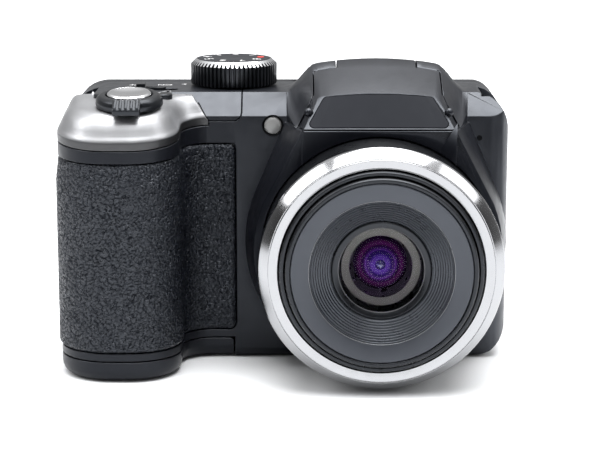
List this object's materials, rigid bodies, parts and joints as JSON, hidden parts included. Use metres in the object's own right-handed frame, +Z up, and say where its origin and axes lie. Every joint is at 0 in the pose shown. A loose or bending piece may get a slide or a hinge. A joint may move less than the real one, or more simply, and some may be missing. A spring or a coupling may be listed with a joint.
{
  "type": "bridge camera",
  "caption": "Bridge camera with a deep battery grip, a two-stage zoom lens in a wide trim ring, a flip-up flash hood, a mode dial and a fixed rear screen.",
  "frame": {"origin": "mouth of the tripod socket on the base, on the lens axis and at half the depth of the body", "axes": "+Z up, +X to the right seen from the front, the lens looks along -Y"},
  "size_m": [0.1111, 0.075, 0.0748],
  "materials": {
    "shell": "satin moulded, fine grain",
    "shell_back": "satin moulded, fine grain",
    "cap_paint": "metallic silver lacquer",
    "grip": "leather grain",
    "dark_plastic": "satin",
    "black_gloss": "gloss",
    "barrel": "satin black",
    "ring": "turned and polished",
    "button_metal": "polished",
    "steel": "plain",
    "brass": "plain",
    "inner": "plain",
    "pom": "plain",
    "glass": "coated",
    "flash_glass": "ribbed",
    "lamp": "clear tinted",
    "screen": "smooth",
    "board": "solder mask",
    "cell": "plain sleeve",
    "dial_top": "satin"
  },
  "bodies": {
    "body": {"front_cover": "shell", "top_cover": "shell", "rear_cover": "shell_back", "grip_cap": "cap_paint", "grip_rubber": "grip", "door_hinge_pin": "steel", "battery_box": "inner", "battery_contacts": "brass", "battery_cells": "cell", "card_slot": "steel", "usb_socket": "steel", "flash_hinge_pins": "steel", "lens_sleeve": "barrel", "lens_trim_ring": "ring", "zoom_motor": "steel", "guide_rods": "steel", "lens_base": "inner", "image_sensor": "board", "main_board": "board", "af_lamp": "lamp", "strap_pins": "steel", "screen_window": "screen", "screen_panel": "screen", "thumb_rest": "grip", "tripod_bush": "steel", "case_screws": "steel"},
    "door": {"battery_door": "shell", "door_contacts": "brass"},
    "latch": {"door_latch": "dark_plastic"},
    "port": {"port_cover": "grip"},
    "flash": {"flash_hood": "shell", "flash_front_plate": "black_gloss", "flash_window": "flash_glass", "flash_reflector": "button_metal", "flash_tube": "flash_glass"},
    "drive": {"drive_ring": "pom"},
    "pinion": {"zoom_pinion": "pom"},
    "barrel_outer": {"zoom_barrel_outer": "barrel"},
    "barrel_inner": {"zoom_barrel_inner": "barrel", "front_baffle": "barrel", "front_retaining_ring": "dark_plastic", "front_lens": "glass", "second_group_frame": "barrel", "second_lens": "glass", "shutter_unit": "inner"},
    "focus": {"focus_carriage": "inner", "focus_lens": "glass"},
    "shutter": {"shutter_button": "button_metal"},
    "lever": {"zoom_lever": "dark_plastic"},
    "dial": {"mode_dial": "dark_plastic", "dial_cap": "dial_top"},
    "power": {"power_switch": "dark_plastic"},
    "exposure_key": {"exposure_button": "dark_plastic"},
    "drive_key": {"drive_button": "dark_plastic"},
    "movie_key": {"movie_button": "dark_plastic"},
    "menu_key": {"menu_button": "dark_plastic"},
    "play_key": {"play_button": "dark_plastic"},
    "delete_key": {"delete_button": "dark_plastic"},
    "pad": {"nav_pad": "dark_plastic"},
    "ok_key": {"ok_button": "dark_plastic"}
  },
  "joints": [
    {"name": "zoom_drive", "type": "hinge", "parent": "body", "child": "drive", "pos_m": [0, -0.03, 0.0302], "axis": [0, -1, 0], "range_deg": [0, 110]},
    {"name": "outer_barrel_slide", "type": "slide", "parent": "body", "child": "barrel_outer", "axis": [0, -1, 0], "range_m": [0, 0.018]},
    {"name": "inner_barrel_slide", "type": "slide", "parent": "barrel_outer", "child": "barrel_inner", "axis": [0, -1, 0], "range_m": [0, 0.018]},
    {"name": "pinion_turn", "type": "hinge", "parent": "body", "child": "pinion", "pos_m": [-0.02336, -0.012, 0.0106], "axis": [0, -1, 0], "range_deg": [-852, 2]},
    {"name": "focus_slide", "type": "slide", "parent": "body", "child": "focus", "axis": [0, -1, 0], "range_m": [0, 0.006]},
    {"name": "flash_lift", "type": "hinge", "parent": "body", "child": "flash", "pos_m": [0, 0.0015, 0.0674], "axis": [-1, 0, 0], "range_deg": [0, 58]},
    {"name": "door_swing", "type": "hinge", "parent": "body", "child": "door", "pos_m": [-0.0373, -0.006, 0.0015], "axis": [0, -1, 0], "range_deg": [0, 95]},
    {"name": "latch_slide", "type": "slide", "parent": "door", "child": "latch", "axis": [1, 0, 0], "range_m": [0, 0.0025]},
    {"name": "port_swing", "type": "hinge", "parent": "body", "child": "port", "pos_m": [0.0324, 0.005, 0.0422], "axis": [0, 0, 1], "range_deg": [0, 95]},
    {"name": "dial_turn", "type": "hinge", "parent": "body", "child": "dial", "pos_m": [-0.036, 0.002, 0.067], "axis": [0, 0, 1], "continuous": true},
    {"name": "zoom_lever_turn", "type": "hinge", "parent": "body", "child": "lever", "pos_m": [-0.0601, -0.03, 0.06601], "axis": [0, -0.1132, 0.9936], "range_deg": [-18, 18], "stiffness_Nm_per_rad": 0.03},
    {"name": "shutter_press", "type": "slide", "parent": "body", "child": "shutter", "axis": [0, 0.1132, -0.9936], "range_m": [0, 0.0009], "stiffness_N_per_m": 260},
    {"name": "power_slide", "type": "slide", "parent": "body", "child": "power", "axis": [1, 0, 0], "range_m": [0, 0.0025], "stiffness_N_per_m": 200},
    {"name": "exposure_press", "type": "slide", "parent": "body", "child": "exposure_key", "axis": [0, 0, -1], "range_m": [0, 0.0005], "stiffness_N_per_m": 180},
    {"name": "drive_press", "type": "slide", "parent": "body", "child": "drive_key", "axis": [0, 0, -1], "range_m": [0, 0.0005], "stiffness_N_per_m": 180},
    {"name": "movie_press", "type": "slide", "parent": "body", "child": "movie_key", "axis": [0, -1, 0], "range_m": [0, 0.0005], "stiffness_N_per_m": 180},
    {"name": "menu_press", "type": "slide", "parent": "body", "child": "menu_key", "axis": [0, -1, 0], "range_m": [0, 0.0005], "stiffness_N_per_m": 180},
    {"name": "play_press", "type": "slide", "parent": "body", "child": "play_key", "axis": [0, -1, 0], "range_m": [0, 0.0005], "stiffness_N_per_m": 180},
    {"name": "delete_press", "type": "slide", "parent": "body", "child": "delete_key", "axis": [0, -1, 0], "range_m": [0, 0.0005], "stiffness_N_per_m": 180},
    {"name": "pad_press", "type": "slide", "parent": "body", "child": "pad", "axis": [0, -1, 0], "range_m": [0, 0.0005], "stiffness_N_per_m": 180},
    {"name": "ok_press", "type": "slide", "parent": "body", "child": "ok_key", "axis": [0, -1, 0], "range_m": [0, 0.0005], "stiffness_N_per_m": 180}
  ],
  "couplings": [
    {"joint": "outer_barrel_slide", "follows": "zoom_drive", "m_per_rad": 0.0093757},
    {"joint": "inner_barrel_slide", "follows": "zoom_drive", "m_per_rad": 0.0093757},
    {"joint": "pinion_turn", "follows": "zoom_drive", "ratio": -7.7143}
  ]
}
